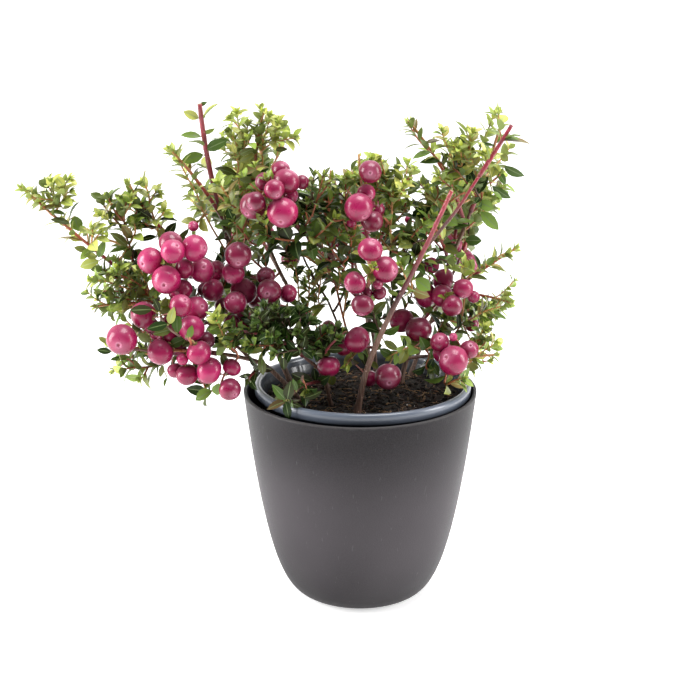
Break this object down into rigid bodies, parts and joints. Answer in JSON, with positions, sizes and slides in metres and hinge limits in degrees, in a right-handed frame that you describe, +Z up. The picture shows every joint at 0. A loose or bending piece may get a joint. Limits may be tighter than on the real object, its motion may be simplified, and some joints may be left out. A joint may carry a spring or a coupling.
{
  "type": "potted prickly heath",
  "caption": "Small evergreen berry shrub with arching woody stems, spiny little leaves and clustered berries, in a nursery pot inside a tapering planter.",
  "frame": {"origin": "centre of the planter's flat underside", "axes": "+Z up; -Y is the front, where the thick bare stem stands; +X is to the right of someone who faces the front"},
  "size_m": [0.2732, 0.1663, 0.2867],
  "materials": {
    "planter": "matt charcoal, faintly speckled",
    "nursery_pot": "satin blue-black",
    "soil": "moist peat with fibres",
    "wood": "young bark, brown below and red above",
    "foliage": "glossy leaves on red twigs",
    "berry_sprays": "waxy magenta berries among leaves"
  },
  "bodies": {
    "root": {"planter": "planter", "nursery_pot": "nursery_pot", "soil": "soil", "front_stem": "wood", "front_fork": "wood", "right_stem": "wood", "right_branch": "wood", "right_low_branch": "wood", "centre_stem": "wood", "centre_branch": "wood", "centre_front_branch": "wood", "left_low_stem": "wood", "left_far_branch": "wood", "low_front_stem": "wood", "tall_stem": "wood", "left_branch": "wood", "crown_left_stem": "wood", "back_left_stem": "wood", "back_stem": "wood", "back_right_stem": "wood", "far_left_mass": "foliage", "left_outer_mass": "foliage", "left_low_mass": "berry_sprays", "left_crown_mass": "foliage", "left_upper_berries": "berry_sprays", "left_lower_berries": "berry_sprays", "middle_left_berries": "berry_sprays", "tall_shoot": "foliage", "tall_side_mass": "foliage", "crown_left_mass": "foliage", "crown_berries": "berry_sprays", "crown_middle_mass": "foliage", "crown_right_berries": "berry_sprays", "centre_berries": "berry_sprays", "centre_low_berries": "berry_sprays", "right_inner_mass": "foliage", "right_crown_mass": "foliage", "right_outer_mass": "foliage", "right_berries": "berry_sprays", "right_upper_spray": "foliage", "right_middle_spray": "foliage", "right_low_berries": "berry_sprays", "low_front_mass": "foliage", "low_inner_mass": "foliage", "left_rim_mass": "foliage", "rim_rosette": "foliage", "back_left_mass": "berry_sprays", "back_mass": "berry_sprays", "back_right_mass": "berry_sprays", "back_left_low_mass": "foliage", "back_right_low_mass": "foliage", "back_crown_left_mass": "foliage", "back_crown_mass": "foliage", "back_crown_right_mass": "foliage", "centre_right_mass": "foliage", "right_middle_mass": "foliage", "centre_left_mass": "foliage"}
  },
  "joints": []
}
